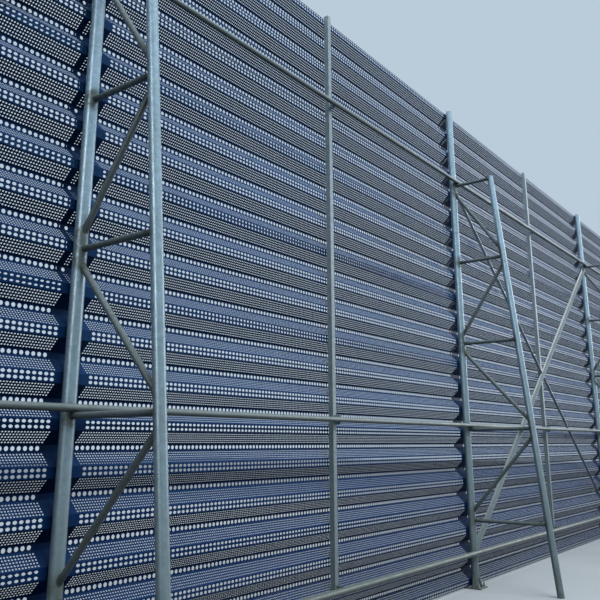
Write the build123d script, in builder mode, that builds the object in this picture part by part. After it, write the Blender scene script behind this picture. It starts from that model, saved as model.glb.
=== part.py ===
from build123d import *
import os

# Windbreak fence in bays. Welded tube trusses carry three rails, slim posts stand
# between the trusses, and corrugated sheets close the far side in lapped courses.
# X runs along the fence, +Y points to the sheeted side and Z is up. The origin is
# on the underside of the middle truss's base plate, at the axis of its column.

# Bays
bay_count = 4
bay_length = 5660.0

# Fits
seat_gap = 0.3  # between pieces that are welded or screwed together

# Column and base plate
chord_sides = 12  # of the column's and leg's section, its flats one diameter apart
column_diameter = 89.0
column_wall = 4.0
column_rise = 22.0  # of its top over the sheets
cap_thickness = 5.0
plate_width = 200.0
plate_thickness = 16.0
anchor_spacing = 140.0
anchor_hole = 22.0
rib_height = 110.0
rib_thickness = 8.0
rib_inset = 15.0  # from the plate's edge to the rib's foot

# Leaning leg
leg_diameter = 76.0
leg_wall = 3.5
leg_foot_reach = 967.0
leg_head_reach = 512.0
leg_head_rise = 28.0  # from the top strut's axis to the leg's level cut
leg_head_cover = 30.0  # height of the closed end over the leg's bore

# Web bars between column and leg
web_diameter = 42.0
web_sides = 8
strut_count = 5
strut_lowest = 735.0
strut_drop = 1060.0  # from the column's top to the highest strut
diagonal_setback = 75.0  # along the tubes, from a strut's axis to a diagonal's

# Rails along the fence
rail_diameter = 48.0
rail_wall = 3.0
lower_rail_diameter = 60.0
lower_rail_height = 388.0
middle_rail_strut = 1  # the strut that the middle rail rests on, from zero
rail_overhang = 150.0

# Posts halfway along the bays
post_width = 50.0
post_wall = 2.5
post_rise = 22.0  # of its top over the sheets
cleat_thickness = 8.0
cleat_height = 80.0

# Crossed braces in every second bay
brace_width = 63.0
brace_wall = 5.0
brace_foot_height = 430.0
brace_head_drop = 1080.0  # below the column's top

# Corrugated sheets
course_count = 7
folds_per_sheet = 3
fold_pitch = 276.6
near_flat = 68.0
far_flat = 38.0
fold_depth = 90.0
sheet_thickness = 1.0
sheet_bottom = 25.0
sheet_end_lap = 180.0
nest_gap = 0.2  # between two sheets where one nests in the other

# Openings, one row in each fold's lower flank, for the sheets' fine punching
openings_across = 3
opening_rib = 240.0  # metal left between neighbours in a row
opening_edge = 14.0  # height of metal left above and below a row

# Places that follow from the sizes above
course_rise = folds_per_sheet * fold_pitch
sheet_top = sheet_bottom + course_count * course_rise + near_flat
column_top = sheet_top + column_rise
post_top = sheet_top + post_rise
fence_length = bay_count * bay_length
columns_x = [(i - bay_count / 2) * bay_length for i in range(bay_count + 1)]
bays_x = [left + bay_length / 2 for left in columns_x[:-1]]
column_radius = column_diameter / 2
rail_back = -column_radius - seat_gap
sheet_front = column_radius + seat_gap
post_front = column_radius - post_width
brace_depth = post_front - rail_back - 2 * seat_gap
brace_head_height = column_top - brace_head_drop
strut_spacing = (column_top - strut_drop - strut_lowest) / (strut_count - 1)
strut_heights = [strut_lowest + i * strut_spacing for i in range(strut_count)]
leg_top = strut_heights[-1] + leg_head_rise
leg_slope = (leg_foot_reach - leg_head_reach) / strut_heights[-1]
rail_lift = (web_diameter + rail_diameter) / 2 + seat_gap
rails = {
    "rail_lower": (lower_rail_diameter, lower_rail_height),
    "rail_middle": (rail_diameter, strut_heights[middle_rail_strut] + rail_lift),
    "rail_upper": (rail_diameter, strut_heights[-1] + rail_lift),
}
flank_rise = (fold_pitch - near_flat - far_flat) / 2
flank_length = (flank_rise**2 + fold_depth**2) ** 0.5
nest_step = (sheet_thickness + nest_gap) * flank_length / flank_rise
opening_pitch = bay_length / openings_across
opening_length = opening_pitch - opening_rib
opening_height = flank_rise - 2 * opening_edge


def leg_axis(height):
    """The point of the leg's axis at a height."""
    return Vector(0, leg_slope * height - leg_foot_reach, height)


def column_axis(height):
    """The point of the column's axis at a height."""
    return Vector(0, 0, height)


def flat_sided(diameter, sides):
    """A bar's section of few sides, turned so that flats face along the fence."""
    RegularPolygon(diameter / 2, sides, major_radius=False, rotation=180 / sides)


def bar(start, end, diameter, sides, mode=Mode.ADD):
    """A bar between two points, added to the part in hand or cut from it."""
    run = end - start
    with BuildSketch(Plane(origin=start, x_dir=(1, 0, 0), z_dir=run)) as section:
        flat_sided(diameter, sides)
    extrude(section.sketch, amount=run.length, mode=mode)


def web_lines():
    """The ends of each level strut and of each diagonal of the zigzag."""
    lines = [(column_axis(height), leg_axis(height)) for height in strut_heights]
    axes = [column_axis, leg_axis]
    for i, (low, high) in enumerate(zip(strut_heights, strut_heights[1:])):
        start = axes[i % 2](low + diagonal_setback)
        end = axes[(i + 1) % 2](high - diagonal_setback)
        lines.append((start, end))
    return lines


def rib(plane):
    """Stiffener from the base plate's edge up the column, on one side of it."""
    foot = plate_width / 2 - rib_inset
    head = column_radius - column_wall / 2
    with BuildSketch(plane) as profile:
        with BuildLine():
            Polyline(
                (head, plate_thickness),
                (foot, plate_thickness),
                (head, plate_thickness + rib_height),
                close=True,
            )
        make_face()
    extrude(profile.sketch, amount=rib_thickness / 2, both=True)


def make_truss():
    """Column on its base plate, leaning leg and web bars, welded into one piece."""
    below_ground = leg_axis(-leg_diameter)
    above_head = leg_axis(leg_top + leg_diameter)
    with BuildPart() as truss:
        bar(below_ground, above_head, leg_diameter, chord_sides)
        split(bisect_by=Plane.XY, keep=Keep.TOP)
        split(bisect_by=Plane.XY.offset(leg_top), keep=Keep.BOTTOM)
        bar(column_axis(0), column_axis(column_top), column_diameter, chord_sides)
        for start, end in web_lines():
            bar(start, end, web_diameter, web_sides)

        with BuildSketch():
            Rectangle(plate_width, plate_width)
            with GridLocations(anchor_spacing, anchor_spacing, 2, 2):
                Circle(anchor_hole / 2, mode=Mode.SUBTRACT)
        extrude(amount=plate_thickness)
        for side in (Plane.XZ, Plane.XZ.rotated((0, 0, 180)), Plane.YZ.rotated((0, 0, 180))):
            rib(side)

        bar(
            column_axis(plate_thickness),
            column_axis(column_top - cap_thickness),
            column_diameter - 2 * column_wall,
            chord_sides,
            Mode.SUBTRACT,
        )
        bar(
            below_ground,
            leg_axis(leg_top - leg_head_cover),
            leg_diameter - 2 * leg_wall,
            chord_sides,
            Mode.SUBTRACT,
        )
    return truss.part


def make_rail(diameter, height):
    """A tube along the whole fence, in front of the columns."""
    length = fence_length + 2 * rail_overhang
    start = (-length / 2, rail_back - diameter / 2, height)
    with BuildPart() as rail:
        with BuildSketch(Plane(origin=start, z_dir=(1, 0, 0))):
            Circle(diameter / 2)
            Circle(diameter / 2 - rail_wall, mode=Mode.SUBTRACT)
        extrude(amount=length)
    return rail.part


def make_post():
    """Square tube from the lower rail up, with a notched cleat to each rail."""
    foot = lower_rail_height - lower_rail_diameter / 2
    with BuildPart() as post:
        with BuildSketch(Plane.XY.offset(foot)):
            with Locations((0, column_radius - post_width / 2)):
                Rectangle(post_width, post_width)
                Rectangle(
                    post_width - 2 * post_wall,
                    post_width - 2 * post_wall,
                    mode=Mode.SUBTRACT,
                )
        extrude(amount=post_top - foot)
        for diameter, height in rails.values():
            rail_axis = rail_back - diameter / 2
            with BuildSketch(Plane.YZ):
                with Locations((post_front, height)):
                    Rectangle(
                        post_front - rail_axis,
                        cleat_height,
                        align=(Align.MAX, Align.CENTER),
                    )
                with Locations((rail_axis, height)):
                    Circle(diameter / 2 + seat_gap, mode=Mode.SUBTRACT)
            extrude(amount=cleat_thickness / 2, both=True)
    return post.part


def make_brace():
    """Angle bar rising across a bay, its outstanding flange along the lower edge."""
    rise = Vector(bay_length, 0, brace_head_height - brace_foot_height)
    overrun = rise.normalized() * brace_width
    start = Vector(-bay_length / 2, post_front - seat_gap, brace_foot_height) - overrun
    with BuildPart() as brace:
        with BuildSketch(Plane(origin=start, x_dir=(0, -1, 0), z_dir=rise)):
            with Locations((0, brace_width / 2)):
                Rectangle(brace_wall, brace_width, align=(Align.MIN, Align.MAX))
                Rectangle(brace_depth, brace_wall, align=(Align.MIN, Align.MAX))
        extrude(amount=rise.length + 2 * overrun.length)
        with Locations((0, 0, column_top / 2)):
            Box(bay_length - web_diameter - 2 * seat_gap, column_diameter, column_top,
                mode=Mode.INTERSECT)
        with BuildSketch():
            with Locations((-bay_length / 2, 0), (bay_length / 2, 0)):
                flat_sided(column_diameter + 2 * seat_gap, chord_sides)
        extrude(amount=column_top, mode=Mode.SUBTRACT)
    return brace.part


def make_cut_brace(rising):
    """The brace that falls across the bay, cut in two where the rising one passes."""
    rise = Vector(bay_length, 0, brace_head_height - brace_foot_height)
    with BuildPart() as brace:
        mirror(rising, about=Plane.YZ)
        start = (-bay_length / 2, post_front, brace_foot_height)
        with BuildSketch(Plane(origin=start, x_dir=(0, -1, 0), z_dir=rise)):
            Rectangle(
                post_front - rail_back,
                brace_width + 2 * seat_gap,
                align=(Align.MIN, Align.CENTER),
            )
        extrude(amount=rise.length, mode=Mode.SUBTRACT)
    return brace.part


def make_sheet(level):
    """One corrugated sheet, set back by a number of nesting steps."""
    length = bay_length + sheet_end_lap
    near = sheet_front + sheet_thickness / 2 + level * nest_step
    far = near + fold_depth
    corners = [(near, 0)]
    for fold in range(folds_per_sheet):
        base = fold * fold_pitch + near_flat
        corners += [
            (near, base),
            (far, base + flank_rise),
            (far, base + flank_rise + far_flat),
            (near, base + 2 * flank_rise + far_flat),
        ]
    corners.append((near, course_rise + near_flat))
    with BuildPart() as sheet:
        with BuildSketch(Plane.YZ.offset(-length / 2)):
            with BuildLine():
                Polyline(*corners)
            trace(line_width=sheet_thickness)
        extrude(amount=length)
        rows_middle = near_flat + flank_rise / 2 + (folds_per_sheet - 1) * fold_pitch / 2
        with BuildSketch(Plane.XZ):
            with Locations((0, rows_middle)):
                with GridLocations(opening_pitch, fold_pitch, openings_across, folds_per_sheet):
                    Rectangle(opening_length, opening_height)
        extrude(amount=2 * far, both=True, mode=Mode.SUBTRACT)
    return sheet.part


def write(part, name, place=(0, 0, 0)):
    """Moves a finished piece to its place, labels it and writes it."""
    piece = Pos(*place) * part
    piece.label = name
    export_step(piece, f"parts/{name}.step")


os.makedirs("parts", exist_ok=True)

truss = make_truss()
for number, x in enumerate(columns_x, 1):
    write(truss, f"truss_{number}", (x, 0, 0))

for name, (diameter, height) in rails.items():
    write(make_rail(diameter, height), name)

post = make_post()
rising_brace = make_brace()
falling_brace = make_cut_brace(rising_brace)
for bay, x in enumerate(bays_x, 1):
    write(post, f"post_{bay}", (x, 0, 0))
    if bay % 2:
        write(rising_brace, f"brace_{bay}_rising", (x, 0, 0))
        write(falling_brace, f"brace_{bay}_falling", (x, 0, 0))

# Neighbours in a course are two steps apart, and courses one step
sheets = [make_sheet(level) for level in range(4)]
for bay, x in enumerate(bays_x, 1):
    for course in range(1, course_count + 1):
        level = (course + 1) % 2 + 2 * ((bay + 1) % 2)
        height = sheet_bottom + (course - 1) * course_rise
        write(sheets[level], f"sheet_{bay}_{course}", (x, 0, height))
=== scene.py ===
import math

import bpy
import numpy as np
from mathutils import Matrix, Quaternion, Vector


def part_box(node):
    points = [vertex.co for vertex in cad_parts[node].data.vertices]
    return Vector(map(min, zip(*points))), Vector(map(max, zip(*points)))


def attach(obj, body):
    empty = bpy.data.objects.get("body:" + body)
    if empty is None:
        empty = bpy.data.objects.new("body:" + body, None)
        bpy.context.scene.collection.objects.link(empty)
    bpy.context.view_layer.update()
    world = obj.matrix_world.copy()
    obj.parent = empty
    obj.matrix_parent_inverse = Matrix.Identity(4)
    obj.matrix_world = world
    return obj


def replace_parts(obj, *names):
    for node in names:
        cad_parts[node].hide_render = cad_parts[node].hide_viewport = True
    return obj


# Windbreak fence: punched blue sheets on a galvanised tube frame. Metres, Z up.

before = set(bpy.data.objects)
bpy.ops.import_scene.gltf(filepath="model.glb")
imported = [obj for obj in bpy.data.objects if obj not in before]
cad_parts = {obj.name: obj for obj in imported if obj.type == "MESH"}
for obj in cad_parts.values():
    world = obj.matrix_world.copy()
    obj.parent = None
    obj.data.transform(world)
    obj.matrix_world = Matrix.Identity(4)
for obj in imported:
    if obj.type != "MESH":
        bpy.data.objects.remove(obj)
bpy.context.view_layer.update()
random = np.random.default_rng(7)

X_WAY = np.array((1.0, 0.0, 0.0))
Y_WAY = np.array((0.0, 1.0, 0.0))
Z_WAY = np.array((0.0, 0.0, 1.0))
SQUARE = ((-1, -1), (1, -1), (1, 1), (-1, 1))  # its corners in order
PARALLEL = 1e-6  # a cross product shorter than this has no direction
LEAST_RADIUS = 1e-5  # of a ring that comes to a point

# Camera, worked out from the photograph's vanishing points
CAMERA_AT = (-8.376, -3.782, 1.60)
LOOK_TURN = math.radians(36.90)  # from +X towards +Y
LOOK_UP = math.radians(14.25)
LOOK_ROLL = math.radians(-0.15)
FOCAL_PIXELS = 724.9
MIDDLE_RISE = -39.9  # pixels from the lens axis up to the frame's middle, which lies below it
FRAME_PIXELS = 600.0
SENSOR = 36.0
CLIP_END = 500.0

# Tube frame, as in the solids
COLUMN_RADIUS = 0.0445
LEG_RADIUS = 0.038
WEB_RADIUS = 0.021
LEG_FOOT_REACH = 0.967
LEG_HEAD_REACH = 0.512
LEG_HEAD_RISE = 0.028
STRUT_COUNT = 5
STRUT_LOWEST = 0.735
STRUT_DROP = 1.060  # from the column's top to the highest strut
DIAGONAL_SETBACK = 0.075
PLATE_WIDTH = 0.200
PLATE_THICKNESS = 0.016
PLATE_CHAMFER = 0.0015
ANCHOR_SPACING = 0.140
RIB_HEIGHT = 0.110
RIB_THICKNESS = 0.008
RIB_INSET = 0.015
RIB_NOSE = 0.006  # a rib's height at its outer end, and how far its top stands off the column
RIB_ROOT = 0.002  # how far it reaches into the column
SPLICE_HEIGHT = 4.22  # where two lengths of column are welded end to end

# Rings of the tubes, and the stain that welding left. A chord is a column or a leg.
CHORD_SIDES = 28
CHORD_RINGS = (-0.15, -0.09, -0.04, 0.0, 0.04, 0.09, 0.15)  # from each joint along the chord
SPLICE_RINGS = (-0.03, -0.008, 0.0, 0.008, 0.03)
RING_GAP = 0.006  # rings of a chord lie further apart than this
WEB_SIDES = 20
WEB_RINGS = (0.0, 0.03, 0.08, 0.16)  # from each end of a web bar
STAIN_REACH = 0.075
STAIN_ASIDE = 0.45  # halfway round a chord from its web bars
STAIN_FACING = 0.65  # what is added on the side of the web bars and taken off behind
STAIN_LEAST = 0.15
PLATE_STAIN = 0.25
RIB_STAIN = 0.3

# Weld beads
BEAD_SIDES = 6
BEAD_RADIUS = 0.0042  # of a bead that runs all the way round a tube
BEAD_RIPPLE = 0.25  # how much that radius varies
LINE_RIPPLE = 0.2  # the same of an open bead
FOOT_BEAD_LIFT = 0.002
SPLICE_BEAD_SINK = 0.003
RAIL_BEAD_LENGTH = 0.034
RAIL_BEAD_LIFT = 0.62  # of the tube's radius, above and below the line of contact
RAIL_BEAD_SPARE = 0.0025  # what the bead's radius has over half the gap there
REST_TOLERANCE = 0.002  # how near a rail's underside lies to the strut that carries it
CLEAT_THICKNESS = 0.008
CLEAT_HEIGHT = 0.080
CLEAT_BEAD = 0.0032
CLEAT_BEAD_OUT = 0.001  # from the cleat's face
CLEAT_POINTS = 25
CLEAT_ARC = np.radians(np.linspace(-75, 75, 13))  # round the rail, where the cleat meets it

# Hardware, turned from outlines of (radius, height)
HEXAGON = 6
WASHER_SIDES = 20
SMALL_SIDES = 12
WASHER = ((0.0185, 0.0), (0.0185, 0.0028), (0.0175, 0.0032))
NUT = ((0.0150, 0.0032), (0.0172, 0.0050), (0.0172, 0.0172), (0.0150, 0.0190))
STUD_FOOT = (0.0096, 0.018)
STUD_TOP = ((0.0094, 0.043), (0.0078, 0.0445))
THREAD_RADII = (0.0100, 0.0088)  # at its crest and its root
THREAD_FOOT = 0.019
THREAD_STEP = 0.0025
THREAD_COUNT = 9
SCREW_SEAL = ((0.0070, 0.0), (0.0070, 0.0013), (0.0062, 0.0021))
SCREW_FLANGE = ((0.0060, 0.0020), (0.0060, 0.0030), (0.0050, 0.0038))
SCREW_HEAD = ((0.0046, 0.0036), (0.0046, 0.0076), (0.0036, 0.0084))

# Sheets
SHEET_THICKNESS = 0.001
FOLDS = 3
NEAR_FLAT = 0.068
FAR_FLAT = 0.038
BEND_RADIUS = 0.006
BEND_STEPS = 4
BAY = 5.660
SHEET_BOTTOM = 0.025
COURSE_RISE = 0.8298

# Punched holes
HOLES_PER_BAY = 140
PITCH = BAY / HOLES_PER_BAY  # of the big holes, twice that of the small ones
HOLE_LINE = -0.020  # where the grid of holes starts, along from each truss
LEFT_MARGIN = 0.215  # least distance from a sheet's left end to the middle of a hole
LONE_HOLE = 0.040  # least distance to the few holes that some rows have before that
LONE_HOLES = {"far": 1, "flank": 2}  # how many those are
LOW_COURSES = 3
RIGHT_MARGINS = (0.165, 0.105)  # at its right end in the low courses, and in the rest
FLANK_REACH = 0.020  # how much nearer to the right end the flanks' holes come
LEFT_TRIM = 0.022  # how much shorter a sheet is at its left end than its solid
NEAR_ROWS = (-0.016, 0.016)
FLANK_ROWS = 5
FLANK_ROW_STEP = 0.0214
FLANK_LEAN = 0.003  # how far these rows lie off the flank's middle, towards the near flat
# Half width and half height
HOLE_SIZES = {"near": (0.0131, 0.0097), "far": (0.0126, 0.0130), "flank": (0.0049, 0.0047)}
CORNER_SHARE = 0.42  # of an octagonal hole's half size
STRAY = (0.0016, 0.0011)  # how far a sheet's holes may lie off their places, along and up
# Laps whose holes don't line up, by bay and lower course: how far apart, from 0 to 1,
# they are at the left end. They are fully apart at the right end.
SLIPS = {(1, 3): 1.0, (1, 5): 1.0, (2, 3): 0.3, (2, 4): 0.0, (3, 2): 0.2, (3, 5): 0.6, (4, 3): 0.4}
SLIP_UP = 0.0052  # how far the lower sheet's rows then lie down, and the upper's up
SLIP_ALONG = 0.017

# Room, and the heights between which dirt and the painted shade fade out
WORLD_COLOUR = (0.93, 0.97, 1.0, 1.0)
WORLD_LIGHT = (0.20, 1.00)  # at the horizon and straight up
FLOOR_REACH = 60.0
FLOOR_ROUGHNESS = 0.9
SHADE_HEIGHTS = (0.3, 3.8)
SPLASH_HEIGHTS = (0.05, 0.75)  # on the sheets
MUD_HEIGHTS = (0.02, 0.45)  # on the tubes


def unit(vector):
    return vector / np.linalg.norm(vector)


def angles_round(count):
    """Evenly spaced angles of a full turn."""
    return np.arange(count) * 2 * math.pi / count


def across(direction):
    """Two unit vectors square to a direction, the first one level."""
    direction = unit(direction)
    level = np.cross(direction, Z_WAY)
    if np.linalg.norm(level) < PARALLEL:
        level = X_WAY
    level = unit(level)
    return level, np.cross(level, direction)


def circle(centre, direction, radius, sides):
    """Points of a circle square to a direction."""
    level, rise = across(np.asarray(direction, float))
    turns = angles_round(sides)
    return centre + radius * (np.outer(np.cos(turns), level) + np.outer(np.sin(turns), rise))


def grid_quads(count_around, count_along):
    """Quads of a strip of closed rings, each of count_around points."""
    quads = []
    for ring in range(count_along - 1):
        low = ring * count_around
        for i in range(count_around):
            j = (i + 1) % count_around
            quads.append((low + i, low + j, low + count_around + j, low + count_around + i))
    return quads


class Shape:
    """Collects points with a stain value each, and faces that are smooth or flat."""

    def __init__(self):
        self.points = []
        self.faces = []
        self.stain = []
        self.smooth = []

    def add(self, points, faces, stain=0.0, smooth=True):
        first = len(self.points)
        self.points.extend(tuple(float(c) for c in p) for p in points)
        self.faces.extend(tuple(first + i for i in face) for face in faces)
        self.smooth.extend([smooth] * len(faces))
        values = np.broadcast_to(np.asarray(stain, float), (len(points),))
        self.stain.extend(values.tolist())

    def make(self, name, material, slot):
        mesh = bpy.data.meshes.new(name)
        mesh.from_pydata(self.points, [], self.faces)
        mesh.polygons.foreach_set("use_smooth", self.smooth)
        layer = mesh.attributes.new("stain", "FLOAT", "POINT")
        layer.data.foreach_set("value", np.array(self.stain, np.float32))
        mesh.materials.append(material)
        return place(name, mesh)


def place(name, mesh):
    """Links a finished mesh as a piece of the fence."""
    mesh.update()
    piece = bpy.data.objects.new(name, mesh)
    bpy.context.scene.collection.objects.link(piece)
    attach(piece, "root")
    return piece


# Materials


class Nodes:
    """Short names for the shader nodes used below."""

    def __init__(self, name):
        self.material = bpy.data.materials.new(name)
        self.material.use_nodes = True
        self.tree = self.material.node_tree
        self.shader = self.tree.nodes["Principled BSDF"]

    def node(self, kind, **settings):
        made = self.tree.nodes.new(kind)
        for key, value in settings.items():
            setattr(made, key, value)
        return made

    def link(self, value, socket):
        """Joins a socket to another, or sets it to a plain value."""
        if hasattr(value, "is_output"):
            self.tree.links.new(value, socket)
        else:
            socket.default_value = value

    def math(self, operation, a, b=0.0):
        made = self.node("ShaderNodeMath", operation=operation)
        self.link(a, made.inputs[0])
        self.link(b, made.inputs[1])
        return made.outputs[0]

    def mapped(self, value, low, high, to_low=0.0, to_high=1.0):
        """A value's share of the way from low to high, held between the two ends."""
        made = self.node("ShaderNodeMapRange", clamp=True)
        for socket, number in zip(made.inputs, (value, low, high, to_low, to_high)):
            self.link(number, socket)
        return made.outputs[0]

    def position(self, scale=(1.0, 1.0, 1.0)):
        """The place on the object, in metres, stretched for streaks."""
        coords = self.node("ShaderNodeTexCoord")
        mapping = self.node("ShaderNodeMapping")
        self.link(coords.outputs["Object"], mapping.inputs["Vector"])
        mapping.inputs["Scale"].default_value = scale
        return mapping.outputs[0]

    def noise(self, size, stretch=(1.0, 1.0, 1.0), detail=4.0, roughness=0.55):
        """Noise whose grain is about size metres."""
        made = self.node("ShaderNodeTexNoise")
        self.link(self.position(stretch), made.inputs["Vector"])
        made.inputs["Scale"].default_value = 1.0 / size
        made.inputs["Detail"].default_value = detail
        made.inputs["Roughness"].default_value = roughness
        return made.outputs["Fac"]

    def mix(self, share, a, b):
        made = self.node("ShaderNodeMix", data_type="RGBA")
        self.link(share, made.inputs["Factor"])
        self.link(a, made.inputs["A"])
        self.link(b, made.inputs["B"])
        return made.outputs["Result"]

    def laid(self, base, share, most, colour):
        """A colour laid over base, as much as share times most."""
        return self.mix(self.math("MULTIPLY", share, most), base, colour)

    def split(self, vector):
        made = self.node("ShaderNodeSeparateXYZ")
        self.link(vector, made.inputs[0])
        return made.outputs

    def joined(self, x, y):
        made = self.node("ShaderNodeCombineXYZ")
        self.link(x, made.inputs[0])
        self.link(y, made.inputs[1])
        return made.outputs[0]

    def upwards(self):
        """How far a face looks up, from -1 to 1."""
        return self.split(self.node("ShaderNodeNewGeometry").outputs["Normal"])[2]

    def stain(self):
        return self.node("ShaderNodeAttribute", attribute_name="stain").outputs["Fac"]

    def bump(self, height, strength, distance):
        made = self.node("ShaderNodeBump")
        made.inputs["Strength"].default_value = strength
        made.inputs["Distance"].default_value = distance
        self.link(height, made.inputs["Height"])
        self.link(made.outputs[0], self.shader.inputs["Normal"])


def rgb(red, green, blue):
    """A colour written as it shows, from 0 to 255, for a shader socket."""
    out = []
    for part in (red, green, blue):
        part = part / 255
        out.append(part / 12.92 if part <= 0.04045 else ((part + 0.055) / 1.055) ** 2.4)
    return (*out, 1.0)


DIRT = rgb(78, 78, 68)
BURN = rgb(56, 68, 60)
UNDERSIDE_SHADE = rgb(44, 56, 58)
PAINT = rgb(8, 36, 70)
FADED_PAINT = rgb(16, 52, 94)
OTHER_PAINT = rgb(26, 62, 98)  # that a sheet may lean to
PAINT_STREAK = rgb(42, 72, 104)
PAINT_DUST_AND_SHEEN = rgb(54, 84, 124)
PAINT_SHADE = rgb(2, 30, 74)
ZINC_RUN = rgb(122, 128, 112)
ZINC_CLOUD = rgb(104, 122, 124)
ZINC_SHADE = rgb(88, 100, 98)
BACKDROP = rgb(186, 203, 218)
FLOOR_TONES = (rgb(154, 164, 171), rgb(162, 171, 177))
FLOOR_BOUNCE = rgb(38, 40, 38)  # what the floor throws back up at the fence


def paint_material():
    """Blue stoved paint: faces that look up lighter, dusty and with a painted sheen, streaks down, faint
    fading, painted shade darker towards the bottom.
    """
    m = Nodes("blue_paint")
    fade = m.noise(0.9, (0.35, 1.0, 1.0), detail=3.0)
    base = m.mix(m.mapped(fade, 0.35, 0.7), PAINT, FADED_PAINT)
    along, _, height = m.split(m.position())
    bay = m.math("FLOOR", m.math("DIVIDE", along, BAY))
    course = m.math("FLOOR", m.math("DIVIDE", m.math("SUBTRACT", height, SHEET_BOTTOM), COURSE_RISE))
    sheet = m.node("ShaderNodeTexWhiteNoise", noise_dimensions="2D")
    m.link(m.joined(bay, course), sheet.inputs["Vector"])
    base = m.mix(m.mapped(sheet.outputs["Value"], 0.0, 1.0, 0.0, 0.3), base, OTHER_PAINT)
    streak = m.mapped(m.noise(0.05, (1.0, 1.0, 0.08), detail=5.0), 0.5, 0.75)
    base = m.laid(base, streak, 0.25, PAINT_STREAK)
    # Dust and painted sheen: faces that look up are lighter and bluer.
    upward = m.mapped(m.upwards(), 0.15, 0.8)
    dust_and_sheen = m.mapped(m.noise(0.12, (0.5, 1.0, 1.0), detail=6.0), 0.25, 0.75, 0.15, 0.45)
    base = m.laid(base, upward, dust_and_sheen, PAINT_DUST_AND_SHEEN)
    # Painted shade: the paint is darker towards the bottom.
    base = m.mix(m.mapped(height, *SHADE_HEIGHTS, 0.6, 0.0), base, PAINT_SHADE)
    low = m.mapped(height, *SPLASH_HEIGHTS, 1.0, 0.0)
    splash = m.math("MULTIPLY", low, m.mapped(m.noise(0.07, detail=8.0), 0.4, 0.65))
    base = m.laid(base, splash, 0.45, DIRT)
    m.link(base, m.shader.inputs["Base Color"])
    rough = m.mapped(m.math("ADD", upward, m.noise(0.2)), 0.3, 1.5, 0.42, 0.75)
    m.link(rough, m.shader.inputs["Roughness"])
    m.shader.inputs["Specular IOR Level"].default_value = 0.06
    m.bump(m.noise(0.35, (0.6, 1.0, 1.0), detail=2.0), 0.25, 0.004)
    return m.material


def zinc_material(name, bright, dark, metallic, rough, stained=False, low_shade=0.3, grime_and_shade=0.0):
    """Galvanised tube: mottled zinc, runs, brown burns at the welds, painted shade underneath and darker
    towards the bottom.
    """
    m = Nodes(name)
    mottle = m.mapped(m.noise(0.035, detail=6.0, roughness=0.65), 0.35, 0.68)
    base = m.mix(mottle, dark, bright)
    runs = m.mapped(m.noise(0.03, (1.0, 1.0, 0.06), detail=5.0), 0.52, 0.72)
    base = m.laid(base, runs, 0.35, ZINC_RUN)
    clouds = m.mapped(m.noise(0.6, detail=2.0), 0.4, 0.7)
    base = m.laid(base, clouds, 0.25, ZINC_CLOUD)
    if stained:
        ragged = m.math("MULTIPLY", m.stain(), m.mapped(m.noise(0.028, detail=7.0), 0.3, 0.6, 0.45, 1.4))
        base = m.laid(base, m.mapped(ragged, 0.15, 0.8), 0.85, BURN)
    height = m.split(m.position())[2]
    # Painted shade: the zinc is darker towards the bottom.
    base = m.mix(m.mapped(height, *SHADE_HEIGHTS, low_shade, 0.0), base, ZINC_SHADE)
    # Painted shade: faces that look down are darkened towards a dark grey-green.
    base = m.mix(m.mapped(m.upwards(), -0.5, 0.45, grime_and_shade, 0.0), base, UNDERSIDE_SHADE)
    low = m.mapped(height, *MUD_HEIGHTS, 1.0, 0.0)
    mud = m.math("MULTIPLY", low, m.mapped(m.noise(0.05, detail=8.0), 0.35, 0.6))
    base = m.laid(base, mud, 0.7, DIRT)
    m.link(base, m.shader.inputs["Base Color"])
    m.shader.inputs["Metallic"].default_value = metallic
    wear = m.noise(0.06, detail=6.0)
    m.link(m.mapped(wear, 0.3, 0.7, rough - 0.08, rough + 0.14), m.shader.inputs["Roughness"])
    m.bump(m.noise(0.012, detail=5.0), 0.18, 0.0015)
    return m.material


def plain_material(name, colour, metallic, rough, grain):
    """Small hardware: one metal or rubber with a little dirt and grain."""
    m = Nodes(name)
    grime_and_shade = m.mapped(m.noise(0.012, detail=6.0), 0.45, 0.7)
    m.link(m.laid(colour, grime_and_shade, 0.6, DIRT), m.shader.inputs["Base Color"])
    m.shader.inputs["Metallic"].default_value = metallic
    m.link(m.mapped(m.noise(0.02), 0.3, 0.7, rough - 0.1, rough + 0.1), m.shader.inputs["Roughness"])
    m.bump(m.noise(grain, detail=4.0), 0.5, grain / 8)
    return m.material


# Punched sheets


def fold_pitch(lo, hi):
    """The rise from one fold to the next of a sheet with these corners."""
    return (hi.z - lo.z - NEAR_FLAT) / FOLDS


def bend_points(start, centre, angle):
    """Points round a bend after its start, turned by angle in all."""
    spoke = start - centre
    points = []
    for step in range(BEND_STEPS):
        share = (step + 1) / BEND_STEPS
        cosine = math.cos(angle * share)
        sine = math.sin(angle * share)
        swung = (spoke[0] * cosine - spoke[1] * sine, spoke[0] * sine + spoke[1] * cosine)
        points.append(centre + np.array(swung))
    return points


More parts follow.
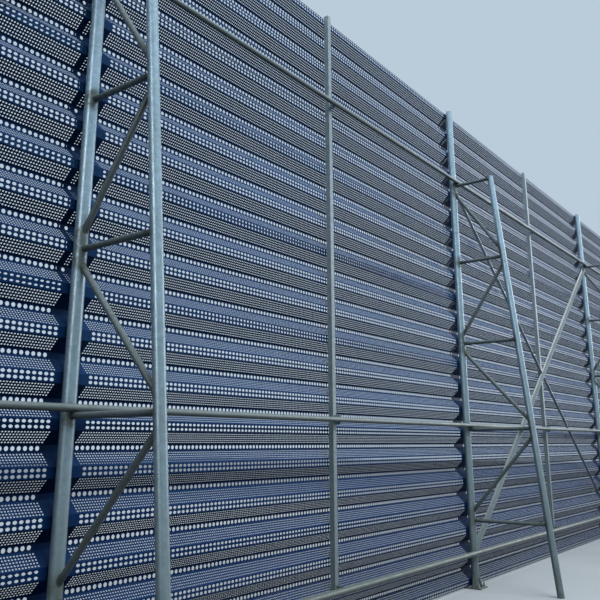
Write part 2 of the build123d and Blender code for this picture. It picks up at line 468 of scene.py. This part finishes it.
def rounded_profile(near, far, bottom, pitch):
    """The sheet's section as runs of (start, end, kind), its corners as short runs."""
    flank = (pitch - NEAR_FLAT - FAR_FLAT) / 2
    corners = [(near, bottom)]
    kinds = ["near"]
    for fold in range(FOLDS):
        base = bottom + fold * pitch + NEAR_FLAT
        corners += [
            (near, base),
            (far, base + flank),
            (far, base + flank + FAR_FLAT),
            (near, base + 2 * flank + FAR_FLAT),
        ]
        kinds += ["flank", "far", "flank", "near"]
    corners.append((near, bottom + FOLDS * pitch + NEAR_FLAT))
    corners = [np.array(corner) for corner in corners]
    runs = []
    at = corners[0]
    for kind, last, corner, following in zip(kinds, corners, corners[1:], corners[2:]):
        before = unit(corner - last)
        after = unit(following - corner)
        turn = math.acos(float(np.clip(before @ after, -1, 1)))
        start = corner - before * (BEND_RADIUS * math.tan(turn / 2))
        runs.append((at, start, kind))
        centre = corner + unit(after - before) * BEND_RADIUS / math.cos(turn / 2)
        side = math.copysign(1.0, before[0] * after[1] - before[1] * after[0])
        for point in bend_points(start, centre, side * turn):
            runs.append((runs[-1][1], point, "bend"))
        at = runs[-1][1]
    runs.append((at, corners[-1], kinds[-1]))
    return runs


def hole_rows(kind, outward):
    """The places of the rows of holes on a run, from its middle."""
    if kind == "near":
        return NEAR_ROWS
    if kind == "far":
        return (0.0,)
    if kind == "flank":
        lean = -FLANK_LEAN if outward else FLANK_LEAN
        first = lean - (FLANK_ROWS - 1) / 2 * FLANK_ROW_STEP
        return [first + i * FLANK_ROW_STEP for i in range(FLANK_ROWS)]
    return ()


def hole_levels(kind):
    """A hole's corners from the lowest up: (height from its middle, half width there)."""
    width, height = HOLE_SIZES[kind]
    if kind == "flank":
        return ((-height, width), (height, width))
    return (
        (-height, width * CORNER_SHARE),
        (-height * CORNER_SHARE, width),
        (height * CORNER_SHARE, width),
        (height, width * CORNER_SHARE),
    )


def hole_centres(start, end, step):
    """Places between two ends where holes fall, on one grid for the whole fence."""
    first = math.ceil((start - HOLE_LINE) / step)
    last = math.floor((end - HOLE_LINE) / step)
    return HOLE_LINE + np.arange(first, last + 1) * step


class SheetSkin:
    """A corrugated sheet of one skin at the solid's mid-plane, its holes open."""

    def __init__(self, lo, hi):
        self.left = lo.x + LEFT_TRIM
        self.right = hi.x
        near = lo.y + SHEET_THICKNESS / 2
        far = hi.y - SHEET_THICKNESS / 2
        self.runs = rounded_profile(near, far, lo.z, fold_pitch(lo, hi))
        self.points = []
        self.stray, self.stray_up = random.uniform(-1, 1, 2) * STRAY

    def apart(self, x, slip):
        """How far apart lapped holes are at x, if they are slip apart at the left end."""
        return slip + (1 - slip) * (x - self.left) / (self.right - self.left)

    def line(self, lefts, rights, at, slip=None, way=0.0):
        """The left and right ends of each piece of a line along the sheet."""
        ends = []
        for x in (np.asarray(lefts), np.asarray(rights)):
            lift = np.zeros(len(x)) if slip is None else way * SLIP_UP * self.apart(x, slip)
            ends.append(np.column_stack((x, np.full(len(x), at[0]), at[1] + lift)))
        return ends

    def strip(self, low, high):
        """Quads between the pieces of two lines."""
        self.points.append(np.stack((low[0], low[1], high[1], high[0]), axis=1))

    def centres(self, kind, right_margin, slip, way):
        """The middles of the holes in each row of one run."""
        step = PITCH / 2 if kind == "flank" else PITCH
        last = self.right - right_margin + (FLANK_REACH if kind == "flank" else 0.0)
        lone = hole_centres(self.left + LONE_HOLE, self.right, step)[:LONE_HOLES.get(kind, 0)]
        centres = np.append(lone, hole_centres(self.left + LEFT_MARGIN, last, step)) + self.stray
        if way > 0 and slip is not None and slip < 1:
            centres = centres + SLIP_ALONG * self.apart(centres, slip)
        return centres

    def punch(self, run, right_margin, slip, way):
        """One run of the section along the sheet, with its rows of holes."""
        start, end, kind = run
        along = unit(end - start)
        centres = self.centres(kind, right_margin, slip, way)
        below = self.line([self.left], [self.right], start)
        for offset in hole_rows(kind, along[0] > 0):
            pieces = []
            for level, half in hole_levels(kind):
                at = (start + end) / 2 + along * (offset + self.stray_up + level)
                whole = self.line([self.left], [self.right], at, slip, way)
                if not pieces:
                    self.strip(below, whole)
                lefts = np.append(self.left, centres + half)
                rights = np.append(centres - half, self.right)
                pieces.append(self.line(lefts, rights, at, slip, way))
            for low, high in zip(pieces, pieces[1:]):
                self.strip(low, high)
            below = whole
        self.strip(below, self.line([self.left], [self.right], end))

    def make(self, name, material):
        co = np.concatenate(self.points).reshape(-1, 3).astype(np.float32)
        corners = np.arange(len(co), dtype=np.int32)
        mesh = bpy.data.meshes.new(name)
        mesh.vertices.add(len(co))
        mesh.vertices.foreach_set("co", co.ravel())
        mesh.loops.add(len(co))
        mesh.loops.foreach_set("vertex_index", corners)
        mesh.polygons.add(len(co) // 4)
        mesh.polygons.foreach_set("loop_start", corners[::4])
        mesh.materials.append(material)
        return place(name, mesh)


def make_sheets(material):
    """Every sheet, its lowest and highest flats punched as the laps there need."""
    for node in sorted(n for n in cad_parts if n.startswith("sheet_")):
        bay, course = (int(number) for number in node.split("_")[1:])
        skin = SheetSkin(*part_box(node))
        for number, run in enumerate(skin.runs):
            slip, way = None, 0.0
            if number == 0:
                slip, way = SLIPS.get((bay, course - 1)), 1.0
            elif number == len(skin.runs) - 1:
                slip, way = SLIPS.get((bay, course)), -1.0
            skin.punch(run, RIGHT_MARGINS[course > LOW_COURSES], slip, way)
        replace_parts(skin.make(f"punched_{node}", material), node)


# Trusses


class Truss:
    """Where one truss's tubes run."""

    def __init__(self, node):
        lo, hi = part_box(node)
        self.node = node
        self.x = (lo.x + hi.x) / 2
        self.top = hi.z
        highest = self.top - STRUT_DROP
        spacing = (highest - STRUT_LOWEST) / (STRUT_COUNT - 1)
        self.struts = [STRUT_LOWEST + i * spacing for i in range(STRUT_COUNT)]
        self.leg_top = highest + LEG_HEAD_RISE
        self.slope = (LEG_FOOT_REACH - LEG_HEAD_REACH) / highest

    def column(self, height):
        return np.array((self.x, 0.0, height))

    def leg(self, height):
        return np.array((self.x, self.slope * height - LEG_FOOT_REACH, height))

    def webs(self):
        """Each web bar as two ends, an end being (point, the tube it meets, its radius)."""
        tubes = [(self.column, COLUMN_RADIUS), (self.leg, LEG_RADIUS)]
        bars = [((height, 0), (height, 1)) for height in self.struts]
        for i, (low, high) in enumerate(zip(self.struts, self.struts[1:])):
            bars.append(((low + DIAGONAL_SETBACK, i % 2), (high - DIAGONAL_SETBACK, (i + 1) % 2)))
        return [[(tubes[side][0](height), *tubes[side]) for height, side in bar] for bar in bars]


def stain_at(distance):
    """How strong the stain is at this distance from a weld."""
    return math.exp(-((distance / STAIN_REACH) ** 2))


def coped_ring(centre, direction, tube, tube_radius):
    """Where the sides of a web bar meet the tube that it is cut to fit."""
    direction = unit(direction)
    rim = circle(centre, direction, WEB_RADIUS, WEB_SIDES)
    axis = unit(tube(1.0) - tube(0.0))
    offset = rim - tube(0.0)
    offset = offset - np.outer(offset @ axis, axis)
    along = direction - (direction @ axis) * axis
    a = along @ along
    b = offset @ along
    c = (offset**2).sum(1) - tube_radius**2
    reach = (-b + np.sqrt(b**2 - a * c)) / a
    return rim + np.outer(reach, direction)


def web_shape(shape, beads, ends):
    """One web bar with coped ends, stained at both, and a weld bead round each."""
    (start, start_tube, start_radius), (end, end_tube, end_radius) = ends
    run = unit(end - start)
    first = coped_ring(start, run, start_tube, start_radius)
    last = coped_ring(end, -run, end_tube, end_radius)
    gaps = last[None] - first[:, None]
    aside = gaps - (gaps @ run)[..., None] * run
    last = last[np.argmin(np.linalg.norm(aside, axis=2), axis=1)]
    steps = [(first, metres) for metres in WEB_RINGS]
    steps += [(last, -metres) for metres in reversed(WEB_RINGS)]
    rings = [base + metres * run for base, metres in steps]
    stain = np.repeat([stain_at(metres) for _, metres in steps], WEB_SIDES)
    shape.add(np.concatenate(rings), grid_quads(WEB_SIDES, len(rings)), stain)
    weld_bead(beads, first, run)
    weld_bead(beads, last, -run)


def weld_bead(beads, loop, inward):
    """A bead along a closed loop of points on a bar whose way in is inward."""
    count = len(loop)
    out = loop - loop.mean(0)
    out = out - np.outer(out @ inward, inward)
    out /= np.linalg.norm(out, axis=1)[:, None]
    size = BEAD_RADIUS * (1 + BEAD_RIPPLE * random.uniform(-1, 1, count))
    points = [
        loop + size[:, None] * (math.cos(turn) * out + math.sin(turn) * inward)
        for turn in angles_round(BEAD_SIDES)
    ]
    points = np.array(points).transpose(1, 0, 2).reshape(-1, 3)
    faces = grid_quads(BEAD_SIDES, count)
    last = (count - 1) * BEAD_SIDES
    for i in range(BEAD_SIDES):
        j = (i + 1) % BEAD_SIDES
        faces.append((last + i, last + j, j, i))
    beads.add(points, faces, 1.0)


def ring_bead(beads, centre, radius):
    """A weld bead all the way round an upright tube."""
    weld_bead(beads, circle(centre, Z_WAY, radius, CHORD_SIDES), Z_WAY)


def joint_heights(truss, tube):
    """Heights along a column or leg where web bars meet it."""
    heights = list(truss.struts)
    for ends in truss.webs()[STRUT_COUNT:]:
        heights += [float(point[2]) for point, met, _ in ends if met == tube]
    return sorted(heights)


def chord_shape(shape, truss, tube, radius, low, high):
    """A column or leg, its rings close together and stained where webs meet it."""
    is_column = tube == truss.column
    joints = joint_heights(truss, tube)
    marks = {low, high}
    for joint in joints:
        marks.update(joint + step for step in CHORD_RINGS)
    if is_column:
        marks.update(SPLICE_HEIGHT + step for step in SPLICE_RINGS)
    heights = [low]
    for mark in sorted(m for m in marks if low < m <= high):
        if mark - heights[-1] > RING_GAP or mark == high:
            heights.append(mark)
    axis = tube(1.0) - tube(0.0)
    facing = -1.0 if is_column else 1.0
    rings = []
    stain = []
    for height in heights:
        centre = tube(height)
        rim = circle(centre, axis, radius, CHORD_SIDES)
        if height in (low, high):
            shift = (height - rim[:, 2]) / axis[2]
            rim = rim + np.outer(shift, axis)
        out = (rim - centre)[:, 1] / radius * facing
        near = max(stain_at(height - joint) for joint in joints)
        rings.append(rim)
        stain += list(near * np.clip(STAIN_ASIDE + STAIN_FACING * out, STAIN_LEAST, 1.0))
    shape.add(np.concatenate(rings), grid_quads(CHORD_SIDES, len(rings)), stain)
    shape.add(rings[-1], [tuple(range(CHORD_SIDES))], smooth=False)


def prism(outline, thickness, origin, along, up, out):
    """A flat plate: an outline in the (along, up) plane, given a thickness along out."""
    flat = np.array([origin + a * along + b * up for a, b in outline])
    count = len(outline)
    points = np.concatenate((flat - out * thickness / 2, flat + out * thickness / 2))
    faces = [tuple(reversed(range(count))), tuple(range(count, 2 * count))]
    for i in range(count):
        j = (i + 1) % count
        faces.append((i, j, count + j, count + i))
    return points, faces


def foot_shape(shape, truss):
    """The base plate with its edge chamfered, and three stiffeners."""
    half = PLATE_WIDTH / 2
    levels = (
        (PLATE_CHAMFER, 0.0),
        (0.0, PLATE_CHAMFER),
        (0.0, PLATE_THICKNESS - PLATE_CHAMFER),
        (PLATE_CHAMFER, PLATE_THICKNESS),
    )
    points = []
    for inset, height in levels:
        size = half - inset
        points += [(truss.x + sx * size, sy * size, height) for sx, sy in SQUARE]
    faces = grid_quads(4, 4) + [(3, 2, 1, 0), (12, 13, 14, 15)]
    shape.add(points, faces, PLATE_STAIN, smooth=False)
    root = COLUMN_RADIUS - RIB_ROOT
    end = half - RIB_INSET
    outline = [
        (root, PLATE_THICKNESS),
        (end, PLATE_THICKNESS),
        (end, PLATE_THICKNESS + RIB_NOSE),
        (COLUMN_RADIUS + RIB_NOSE, PLATE_THICKNESS + RIB_HEIGHT),
        (root, PLATE_THICKNESS + RIB_HEIGHT),
    ]
    for along in (X_WAY, -X_WAY, -Y_WAY):
        out = np.cross(Z_WAY, along)
        points, faces = prism(outline, RIB_THICKNESS, truss.column(0.0), along, Z_WAY, out)
        shape.add(points, faces, RIB_STAIN, smooth=False)


def make_truss(node, chord, web, weld_metal):
    truss = Truss(node)
    shape = Shape()
    webs = Shape()
    beads = Shape()
    chord_shape(shape, truss, truss.column, COLUMN_RADIUS, PLATE_THICKNESS / 2, truss.top)
    chord_shape(shape, truss, truss.leg, LEG_RADIUS, 0.0, truss.leg_top)
    for ends in truss.webs():
        web_shape(webs, beads, ends)
    foot_shape(shape, truss)
    ring_bead(beads, truss.column(PLATE_THICKNESS + FOOT_BEAD_LIFT), COLUMN_RADIUS)
    ring_bead(beads, truss.column(SPLICE_HEIGHT), COLUMN_RADIUS - SPLICE_BEAD_SINK)
    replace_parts(shape.make(f"{node}_chords", chord, "frame_steel"), node)
    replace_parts(webs.make(f"{node}_webs", web, "frame_steel"), node)
    beads.make(f"{node}_welds", weld_metal, "frame_steel")
    return truss


# Welds of the rails


def bead_along(beads, points, radius, side):
    """A weld bead through points that lie in one plane, to which side is square."""
    points = np.asarray(points, float)
    ways = np.gradient(points, axis=0)
    ways /= np.linalg.norm(ways, axis=1)[:, None]
    taper = np.sqrt(1 - np.linspace(-1, 1, len(points)) ** 4)
    sizes = radius * taper * (1 + LINE_RIPPLE * random.uniform(-1, 1, len(points)))
    rise = np.cross(side, ways)
    turns = angles_round(BEAD_SIDES)
    rings = [
        point + max(size, LEAST_RADIUS) * (np.outer(np.cos(turns), side) + np.outer(np.sin(turns), up))
        for point, size, up in zip(points, sizes, rise)
    ]
    beads.add(np.concatenate(rings), grid_quads(BEAD_SIDES, len(rings)), 1.0)


def straight(centre, way, length, count=9):
    """Points of a short straight bead."""
    return np.asarray(centre) + np.outer(np.linspace(-length / 2, length / 2, count), way)


def crossing_beads(beads, contact, out, way, radius):
    """Two beads along way, where a tube touches another at contact and curves off along out."""
    side = np.cross(out, way)
    lift = RAIL_BEAD_LIFT * radius
    gap = radius - math.sqrt(radius**2 - lift**2)
    for sign in (-1, 1):
        centre = contact + sign * lift * side + gap / 2 * out
        bead_along(beads, straight(centre, way, RAIL_BEAD_LENGTH), gap / 2 + RAIL_BEAD_SPARE, side)


def cleat_beads(beads, post, axis, radius):
    """Beads on both faces of the cleat between a post and a rail: up the post, round the rail."""
    lo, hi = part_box(post)
    middle = (lo.x + hi.x) / 2
    front = hi.y - (hi.x - lo.x)
    for sign in (-1, 1):
        x = middle + sign * (CLEAT_THICKNESS / 2 + CLEAT_BEAD_OUT)
        centre = np.array((x, front, axis[2]))
        bead_along(beads, straight(centre, Z_WAY, CLEAT_HEIGHT, CLEAT_POINTS), CLEAT_BEAD, X_WAY)
        depths = axis[1] + radius * np.cos(CLEAT_ARC)
        heights = axis[2] + radius * np.sin(CLEAT_ARC)
        arc = np.column_stack((np.full(len(CLEAT_ARC), x), depths, heights))
        bead_along(beads, arc, CLEAT_BEAD, X_WAY)


def rail_welds(node, trusses, posts, material):
    """Welds of one rail: to the columns, to the struts it rests on and to the posts' cleats."""
    lo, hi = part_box(node)
    radius = (hi.y - lo.y) / 2
    axis = np.array((0.0, (lo.y + hi.y) / 2, (lo.z + hi.z) / 2))
    beads = Shape()
    for truss in trusses:
        touch = np.array((truss.x, hi.y, axis[2]))
        crossing_beads(beads, touch, -Y_WAY, X_WAY, radius)
        if any(abs(lo.z - WEB_RADIUS - height) < REST_TOLERANCE for height in truss.struts):
            touch = np.array((truss.x, axis[1], lo.z))
            crossing_beads(beads, touch, -Z_WAY, Y_WAY, WEB_RADIUS)
    for post in posts:
        cleat_beads(beads, post, axis, radius)
    beads.make(f"{node}_welds", material, "frame_steel")


# Hardware


def turned(shape, outline, centre, axis, sides, smooth=True):
    """A turned form: an outline of (radius, height) about an axis through centre."""
    rings = [
        circle(centre + axis * height, axis, max(radius, LEAST_RADIUS), sides)
        for radius, height in outline
    ]
    faces = grid_quads(sides, len(rings))
    faces.append(tuple(range((len(rings) - 1) * sides, len(rings) * sides)))
    shape.add(np.concatenate(rings), faces, smooth=smooth)


def anchor(shape, x, y):
    """Stud, washer and hexagon nut on the base plate."""
    base = np.array((x, y, PLATE_THICKNESS))
    turned(shape, WASHER, base, Z_WAY, WASHER_SIDES, smooth=False)
    turned(shape, NUT, base, Z_WAY, HEXAGON, smooth=False)
    crest, root = THREAD_RADII
    stud = [STUD_FOOT]
    for thread in range(THREAD_COUNT):
        height = THREAD_FOOT + thread * THREAD_STEP
        stud += [(crest, height), (root, height + THREAD_STEP / 2)]
    turned(shape, (*stud, *STUD_TOP), base, Z_WAY, SMALL_SIDES)


def make_anchors(trusses, material):
    half = ANCHOR_SPACING / 2
    for truss in trusses:
        shape = Shape()
        for sx in (-half, half):
            for sy in (-half, half):
                anchor(shape, truss.x + sx, sy)
        shape.make(f"{truss.node}_anchors", material, "frame_steel")


def screw(heads, seals, seat):
    """A self-drilling screw on a near flat: rubber seal, flange and hexagon head."""
    turned(seals, SCREW_SEAL, seat, Y_WAY, SMALL_SIDES)
    turned(heads, SCREW_FLANGE, seat, Y_WAY, SMALL_SIDES)
    turned(heads, SCREW_HEAD, seat, Y_WAY, HEXAGON, smooth=False)


def make_screws(supports, steel, rubber):
    """Screws through every near flat into the columns and posts, heads on the sheeted side."""
    sheets = [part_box(node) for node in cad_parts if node.startswith("sheet_")]
    pitch = fold_pitch(*sheets[0])
    levels = {
        round(lo.z + NEAR_FLAT / 2 + fold * pitch, 3)
        for lo, _ in sheets
        for fold in range(FOLDS + 1)
    }
    heads = Shape()
    seals = Shape()
    for x in supports:
        for level in sorted(levels):
            backs = [lo.y for lo, hi in sheets if lo.x < x < hi.x and lo.z < level < hi.z]
            screw(heads, seals, np.array((x, max(backs) + SHEET_THICKNESS / 2, level)))
    heads.make("screw_heads", steel, "frame_steel")
    seals.make("screw_seals", rubber, "frame_steel")


# Camera, room and lamps


def add_camera():
    data = bpy.data.cameras.new("camera")
    data.sensor_width = SENSOR
    data.lens = FOCAL_PIXELS / FRAME_PIXELS * SENSOR
    data.shift_y = MIDDLE_RISE / FRAME_PIXELS
    data.clip_end = CLIP_END
    camera = bpy.data.objects.new("camera", data)
    bpy.context.scene.collection.objects.link(camera)
    camera.location = CAMERA_AT
    look = Vector(
        (
            math.cos(LOOK_TURN) * math.cos(LOOK_UP),
            math.sin(LOOK_TURN) * math.cos(LOOK_UP),
            math.sin(LOOK_UP),
        )
    )
    turn = look.to_track_quat("-Z", "Y") @ Quaternion((0, 0, 1), LOOK_ROLL)
    camera.rotation_euler = turn.to_euler()
    bpy.context.scene.camera = camera


def showing_rays(tree):
    """A socket that is 1 for the rays by which the room itself is seen, and 0 for its light."""
    path = tree.nodes.new("ShaderNodeLightPath")
    rays = path.outputs["Is Camera Ray"]
    for kind in ("Is Glossy Ray", "Is Transmission Ray"):
        either = tree.nodes.new("ShaderNodeMath")
        either.operation = "ADD"
        either.use_clamp = True
        tree.links.new(rays, either.inputs[0])
        tree.links.new(path.outputs[kind], either.inputs[1])
        rays = either.outputs[0]
    return rays


def add_world():
    """A pale room, brighter overhead, with one even tone that shows behind the fence."""
    world = bpy.data.worlds.new("studio")
    bpy.context.scene.world = world
    world.use_nodes = True
    tree = world.node_tree
    lit = tree.nodes["Background"]
    lit.inputs["Color"].default_value = WORLD_COLOUR
    way = tree.nodes.new("ShaderNodeTexCoord")
    height = tree.nodes.new("ShaderNodeSeparateXYZ")
    strength = tree.nodes.new("ShaderNodeMapRange")
    strength.inputs["To Min"].default_value = WORLD_LIGHT[0]
    strength.inputs["To Max"].default_value = WORLD_LIGHT[1]
    tree.links.new(way.outputs["Generated"], height.inputs[0])
    tree.links.new(height.outputs[2], strength.inputs[0])
    tree.links.new(strength.outputs[0], lit.inputs["Strength"])
    shown = tree.nodes.new("ShaderNodeBackground")
    shown.inputs["Color"].default_value = BACKDROP
    mix = tree.nodes.new("ShaderNodeMixShader")
    tree.links.new(showing_rays(tree), mix.inputs[0])
    tree.links.new(lit.outputs[0], mix.inputs[1])
    tree.links.new(shown.outputs[0], mix.inputs[2])
    tree.links.new(mix.outputs[0], tree.nodes["World Output"].inputs["Surface"])


def add_light(name, at, aim, size, power, only=None):
    """A soft lamp. It can be for diffuse light only, or for reflections of itself only."""
    data = bpy.data.lights.new(name, "AREA")
    data.shape = "RECTANGLE"
    data.size, data.size_y = size
    data.energy = power
    lamp = bpy.data.objects.new(name, data)
    bpy.context.scene.collection.objects.link(lamp)
    lamp.location = at
    lamp.visible_glossy = only != "diffuse"
    lamp.visible_diffuse = only != "glossy"
    lamp.rotation_euler = (Vector(aim) - Vector(at)).to_track_quat("-Z", "Y").to_euler()


def add_floor():
    """A pale floor that throws only a little light back up."""
    mesh = bpy.data.meshes.new("floor")
    corners = [(sx * FLOOR_REACH, sy * FLOOR_REACH, 0.0) for sx, sy in SQUARE]
    mesh.from_pydata(corners, [], [(0, 1, 2, 3)])
    floor = bpy.data.objects.new("floor", mesh)
    bpy.context.scene.collection.objects.link(floor)
    m = Nodes("floor")
    tone = m.mapped(m.noise(1.5, detail=2.0), 0.3, 0.7)
    shown = m.mix(tone, *FLOOR_TONES)
    m.link(m.mix(showing_rays(m.tree), FLOOR_BOUNCE, shown), m.shader.inputs["Base Color"])
    m.shader.inputs["Roughness"].default_value = FLOOR_ROUGHNESS
    mesh.materials.append(m.material)


# The fence

paint = paint_material()
chord_zinc = zinc_material(
    "chord_zinc", rgb(156, 188, 208), rgb(130, 160, 180), 0.28, 0.36, stained=True, low_shade=0.80
)
# Painted shade: the web bars' zinc is a darker copy of the chords', standing for the shade they lie in.
shaded_web_zinc = zinc_material(
    "shaded_web_zinc", rgb(112, 130, 136), rgb(86, 100, 106), 0.15, 0.46, stained=True, low_shade=0.5, grime_and_shade=0.6
)
rail_zinc = zinc_material(
    "rail_zinc", rgb(138, 156, 164), rgb(112, 128, 136), 0.14, 0.46, low_shade=1.0, grime_and_shade=0.85
)
post_zinc = zinc_material("post_zinc", rgb(138, 158, 170), rgb(112, 132, 144), 0.14, 0.50, low_shade=0.6)
rising_zinc = zinc_material(
    "rising_brace_zinc", rgb(146, 162, 170), rgb(120, 134, 142), 0.15, 0.46, low_shade=0.4
)
# Painted light: the falling braces' zinc is a lighter copy of the rising braces', standing for the light
# their faces catch.
lit_falling_zinc = zinc_material(
    "falling_brace_lit_zinc", rgb(214, 222, 226), rgb(190, 200, 206), 0.20, 0.34
)
weld = plain_material("weld_metal", rgb(70, 76, 70), 0.6, 0.6, 0.004)
hardware = plain_material("bolt_steel", rgb(150, 152, 150), 0.8, 0.45, 0.003)
seal = plain_material("seal_rubber", rgb(40, 42, 44), 0.0, 0.7, 0.002)

finishes = {
    "rail": rail_zinc,
    "post": post_zinc,
    "brace_1_rising": rising_zinc,
    "brace_3_rising": rising_zinc,
    "brace_1_falling": lit_falling_zinc,
    "brace_3_falling": lit_falling_zinc,
}
for name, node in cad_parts.items():
    finish = finishes.get(name) or finishes.get(name.split("_")[0])
    if finish:
        node.data.materials.clear()
        node.data.materials.append(finish)

make_sheets(paint)
trusses = [
    make_truss(node, chord_zinc, shaded_web_zinc, weld)
    for node in sorted(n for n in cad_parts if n.startswith("truss_"))
]
make_anchors(trusses, hardware)
posts = sorted(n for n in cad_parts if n.startswith("post_"))
for node in ("rail_lower", "rail_middle", "rail_upper"):
    rail_welds(node, trusses, posts, weld)
middles = [(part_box(node)[0].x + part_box(node)[1].x) / 2 for node in posts]
make_screws([truss.x for truss in trusses] + middles, hardware, seal)

add_camera()
add_world()
add_light("key", (-3.0, -12.0, 14.0), (-1.0, 0.0, 2.5), (14.0, 7.0), 2700.0, "diffuse")
add_light("side", (-15.0, -1.5, 6.5), (0.0, 0.0, 3.5), (3.0, 6.0), 120.0)
add_light("top", (-3.0, -2.0, 13.0), (-1.0, 0.0, 0.0), (18.0, 6.0), 400.0)
add_light("right_gleam", (15.0, -7.0, 7.0), (-2.0, 0.0, 3.0), (4.0, 9.0), 1200.0, "glossy")
add_light("left_gleam", (-15.0, -2.5, 6.0), (-2.0, 0.0, 3.0), (3.0, 7.0), 450.0, "glossy")
add_light("back", (3.0, 13.0, 12.0), (0.0, 0.0, 3.0), (14.0, 6.0), 900.0)
add_floor()
bpy.context.scene.view_settings.view_transform = "Standard"
